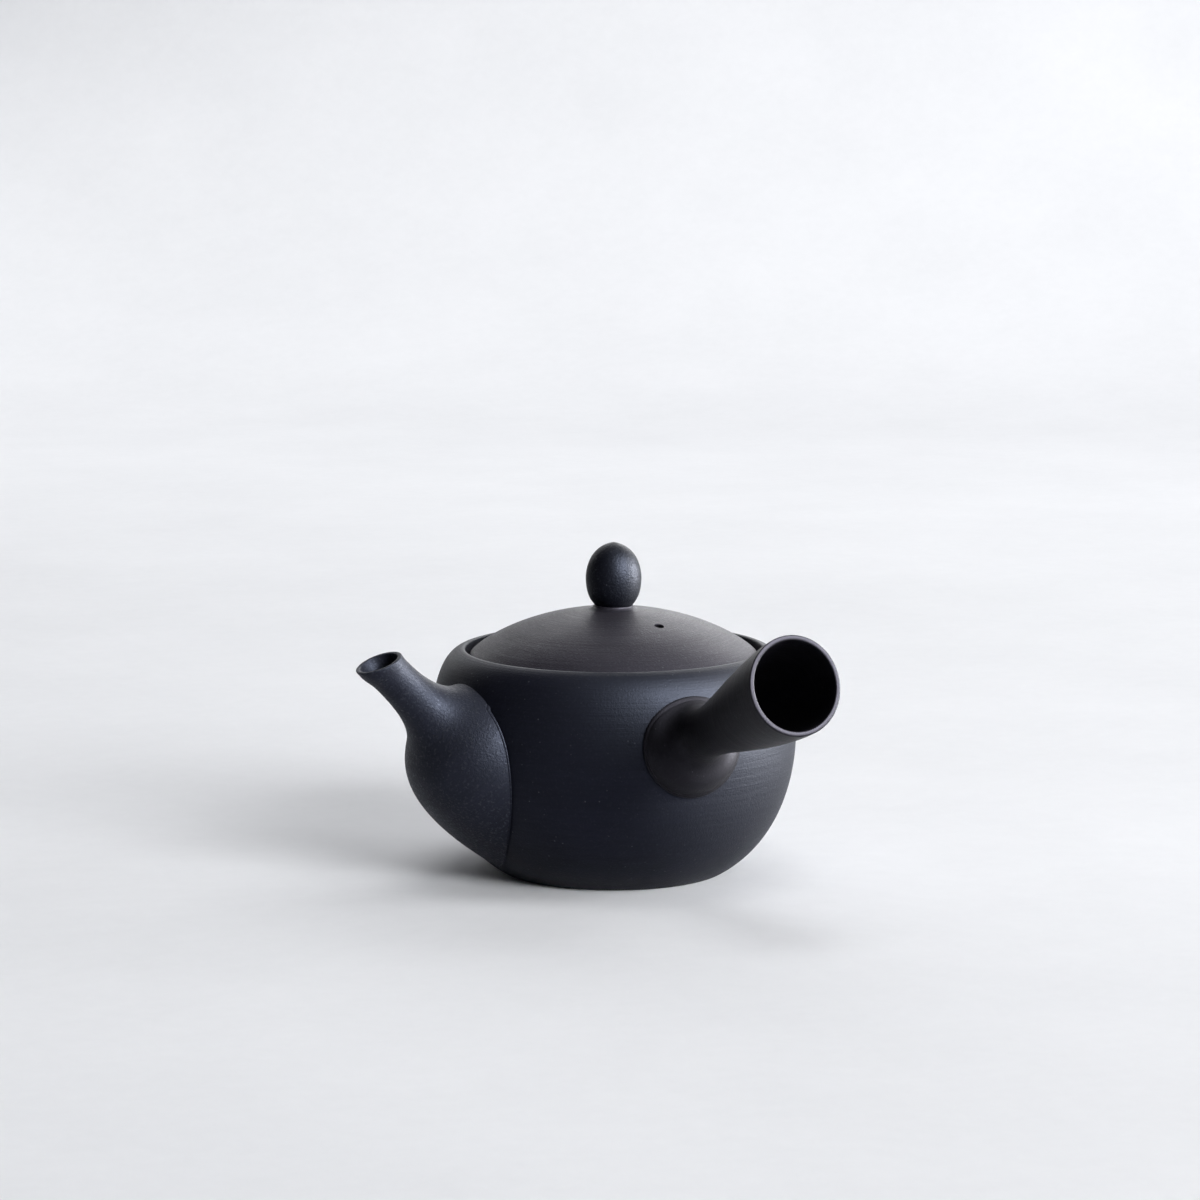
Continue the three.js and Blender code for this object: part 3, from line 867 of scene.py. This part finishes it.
def hollow_vent():
    """The vent was pierced from outside, so it is a little wider within the wall, and looks black."""
    reach, height = np.array(lid_top()).T
    slope = float(np.interp(VENT_PLACE, reach, np.gradient(height, reach)))
    upright = (Vector((0, 0, 1)) - outward(VENT_TURN) * slope).normalized()
    mouth = outward(VENT_TURN) * VENT_PLACE + Vector((0, 0, float(np.interp(VENT_PLACE, reach, height))))
    start = mouth - upright * (VENT_LIP + VENT_HOLLOW_DEPTH)
    cut_away(lid, make_bar("vent_hollow_cutter", start, upright, VENT_HOLLOW_DEPTH, VENT_HOLLOW_RADIUS))


pierce_vent()
hollow_vent()
dress(lid, lid_clay, "lid", "lid")

# %% Knob
KNOB_FOOT_RADIUS = 5.0
KNOB_FOOT_FLARE = 0.9
KNOB_FOOT_ROUND = 0.25
KNOB_RADIUS = 7.6
KNOB_HEIGHT = 17
KNOB_WIDEST = 7.2
KNOB_PULL_DOWN = 4.8
KNOB_PULL_UP = 1.2
KNOB_POINT_PULL = (7.3, 1.2)


def make_knob():
    """A bud that is widest below its middle and ends in a slight point."""
    foot = (KNOB_FOOT_RADIUS, pad_top)
    widest, tip = pad_top + JOIN_GAP + KNOB_WIDEST, pad_top + JOIN_GAP + KNOB_HEIGHT
    lower = curve(foot, (KNOB_FOOT_RADIUS + KNOB_FOOT_FLARE, pad_top + KNOB_FOOT_FLARE),
                  (KNOB_RADIUS, widest - KNOB_PULL_DOWN), (KNOB_RADIUS, widest))
    upper = curve((KNOB_RADIUS, widest), (KNOB_RADIUS, widest + KNOB_PULL_UP),
                  (KNOB_POINT_PULL[0], tip - KNOB_POINT_PULL[1]), (0, tip))
    outline = [(0, pad_top), *lower, *upper[1:]]
    bm = spin_round(outline_mesh(outline, [(foot, KNOB_FOOT_ROUND)]), KNOB_SIDES)
    return make_object(bm, "lid_knob_clay")


lid_knob = make_knob()
dress(lid_knob, knob_clay, "lid", "lid_knob")

# %% [markdown]
# ## The stage
# The pot stands on pale paper that runs up behind it without a corner. It could be a plain white plane, but
# the washed paper of the photograph has faint streaks. Its tone is also made darker to the right, in front
# of the pot and further back, as painted shade that shapes how light falls across it.
# What it throws back on to the dark clay is dimmed, and its far end has a faint glow that only the camera
# and mirror-like rays see, so that the backdrop is pale without any more light on the pot.

# %% Floor and backdrop
FLOOR_HALF = 3.0
BACK_DISTANCE = 1.1
BACK_ROUND = 0.5
BACK_HEIGHT = 2.4
BACK_STEPS = 24


def make_stage():
    """One sheet: a line from the floor up the wall, extruded sideways and turned to face the camera."""
    bm = bmesh.new()
    bend = [(BACK_DISTANCE + BACK_ROUND * math.sin(a), BACK_ROUND * (1 - math.cos(a)))
            for a in np.linspace(0, math.pi / 2, BACK_STEPS)]
    line = [(-FLOOR_HALF, 0), *bend, (bend[-1][0], BACK_HEIGHT)]
    points = [bm.verts.new((-FLOOR_HALF, y, z)) for y, z in line]
    edges = [bm.edges.new(pair) for pair in zip(points, points[1:])]
    made = bmesh.ops.extrude_edge_only(bm, edges=edges)
    new_points = [v for v in made["geom"] if isinstance(v, bmesh.types.BMVert)]
    bmesh.ops.translate(bm, verts=new_points, vec=(2 * FLOOR_HALF, 0, 0))
    bmesh.ops.rotate(bm, verts=bm.verts, cent=(0, 0, 0), matrix=Matrix.Rotation(-VIEW_TURN, 3, "Z"))
    bmesh.ops.recalc_face_normals(bm, faces=bm.faces)
    return make_object(bm, "paper_stage")


stage = make_stage()
print("stage:", len(stage.data.polygons), "faces")

# %% Paper
PAPER_DEEP = (0.845, 0.858, 0.89, 1)
PAPER_PALE = (0.905, 0.917, 0.95, 1)
PAPER_TONES = (0.3, 0.7)
PAPER_ROUGHNESS = 0.9
PAPER_BOUNCE = 0.4
WASH_PER_METRE = 9
WASH_SHARE = 0.7
FIBRE_PER_METRE = 150
FIBRE_SHARE = 0.3
# Each fall goes from one distance to another, in metres, and from one level to another.
# The falls paint shade on the paper: darker to the right, in front of the pot and further back.
SIDE_FALL = (-0.35, 0.35, 1.015, 0.925)
NEAR_FALL = (-0.35, 0.0, 0.93, 1.0)
FAR_FALL = (0.05, 0.5, 1.0, 0.93)
WALL_GLOW = (0.9, 1.75, 0.0, 0.14)
SIDE_GLOW = (-0.3, 0.3, 0.4, 1.3)


def distance_along(tree, position, direction):
    """How far a point lies along a direction from the pot."""
    node = add_node(tree, "ShaderNodeVectorMath", {1: direction}, {0: position}, operation="DOT_PRODUCT")
    return node.outputs["Value"]


def make_paper():
    """Pale washed paper. What it throws back on to the pot is dimmer than what the camera sees of it."""
    material = bpy.data.materials.new("paper")
    material.use_nodes = True
    tree = material.node_tree
    shader = tree.nodes["Principled BSDF"]
    shader.inputs["Roughness"].default_value = PAPER_ROUGHNESS
    shader.inputs["Specular IOR Level"].default_value = 0.0
    shader.inputs["Emission Strength"].default_value = 1.0
    position = add_node(tree, "ShaderNodeTexCoord").outputs["Object"]
    sideways = distance_along(tree, position, (math.cos(VIEW_TURN), -math.sin(VIEW_TURN), 0))
    back = distance_along(tree, position, (math.sin(VIEW_TURN), math.cos(VIEW_TURN), 1))
    wash = noise(tree, position, WASH_PER_METRE, 8, 0.62)
    fibre = noise(tree, position, FIBRE_PER_METRE, 4, 0.7)
    streaks = weigh(tree, [(wash, WASH_SHARE), (fibre, FIBRE_SHARE)])
    tone = ramp(tree, streaks, *PAPER_TONES, PAPER_DEEP, PAPER_PALE)
    # Painted shade: the paper's tone darkened in front of the pot, further back and to the right.
    depth_painted_shade = times(tree, between(tree, back, *FAR_FALL), between(tree, back, *NEAR_FALL))
    tone_with_painted_shade = scaled(tree, tone, times(tree, between(tree, sideways, *SIDE_FALL), depth_painted_shade))
    ray = add_node(tree, "ShaderNodeLightPath")
    shown = weigh(tree, [(ray.outputs["Is Camera Ray"], 1), (ray.outputs["Is Glossy Ray"], 1),
                         (ray.outputs["Is Transmission Ray"], 1)])
    seen = scaled(tree, tone_with_painted_shade, between(tree, shown, 0, 1, PAPER_BOUNCE, 1.0))
    glow = times(tree, between(tree, back, *WALL_GLOW), between(tree, sideways, *SIDE_GLOW))
    tree.links.new(seen, shader.inputs["Base Color"])
    tree.links.new(scaled(tree, tone, times(tree, glow, shown)), shader.inputs["Emission Color"])
    return material


stage.data.materials.append(make_paper())

# %% [markdown]
# ## The light
# In the photograph the light comes from a window at the front right, with a little more from the right,
# from behind and from above. Wide lamps a long way off give the pot its soft edge of light and the shadow
# on its left. The clay is so dark that what shapes it is its sheen, which is low. Three further lamps are
# seen by the sheen alone, and bring out the highlights on the lid, the knob, the spout and the belly's side.

# %% Room and lamps
ROOM_COLOUR = (0.95, 0.97, 1.0, 1)
WORLD_STRENGTH = 0.03
LAMP_DISTANCE = 1.5
FAR_LAMP = 2.3

world = bpy.data.worlds.new("pale_room")
world.use_nodes = True
world.node_tree.nodes["Background"].inputs["Color"].default_value = ROOM_COLOUR
world.node_tree.nodes["Background"].inputs["Strength"].default_value = WORLD_STRENGTH
bpy.context.scene.world = world


def add_soft_light(name, azimuth, elevation, size, watts, distance=LAMP_DISTANCE, lights_all=True):
    """A soft light that faces the pot. Azimuth is measured from the camera, to the right. Size and power
    are those at LAMP_DISTANCE, and grow with a longer distance, so that the pot is lit the same."""
    further = distance / LAMP_DISTANCE
    data = bpy.data.lights.new(name, "AREA")
    data.shape = "RECTANGLE"
    data.size, data.size_y = (side * further for side in size)
    data.energy = watts * further ** 2
    lamp = bpy.data.objects.new(name, data)
    lamp.visible_diffuse = lights_all
    bpy.context.scene.collection.objects.link(lamp)
    a, e = math.radians(azimuth), math.radians(elevation)
    place = Vector((math.sin(a) * math.cos(e), -math.cos(a) * math.cos(e), math.sin(e))) * distance
    aim = (-place).to_track_quat("-Z", "Y").to_matrix().to_4x4()
    lamp.matrix_world = turn_to_view @ Matrix.Translation(place) @ aim
    return lamp


lamps = [
    add_soft_light("front_window", 38, 26, (0.9, 0.5), 16, FAR_LAMP),
    add_soft_light("low_window", 50, 13, (0.8, 0.4), 10.5, FAR_LAMP),
    add_soft_light("side_window", 98, 13, (0.6, 0.45), 8, FAR_LAMP),
    add_soft_light("back_side_window", 137, 36, (0.9, 0.6), 5.5),
    add_soft_light("back_window", 180, 38, (1.1, 0.6), 5),
    add_soft_light("left_card", -150, 20, (0.6, 0.45), 1.9),
    add_soft_light("ceiling", 0, 88, (0.7, 0.7), 4.5),
    add_soft_light("high_glint", 50, 32, (0.6, 0.5), 104, FAR_LAMP, lights_all=False),
    add_soft_light("side_glint", 100, 10, (0.6, 0.5), 110, FAR_LAMP, lights_all=False),
    add_soft_light("back_glint", 165, 22, (0.9, 0.4), 6, lights_all=False),
]
print("lights:", [lamp.name for lamp in lamps])

# %% [markdown]
# ## Colours
# The Standard view transform shows each colour as it was chosen.

# %% Colour management
bpy.context.scene.view_settings.view_transform = "Standard"
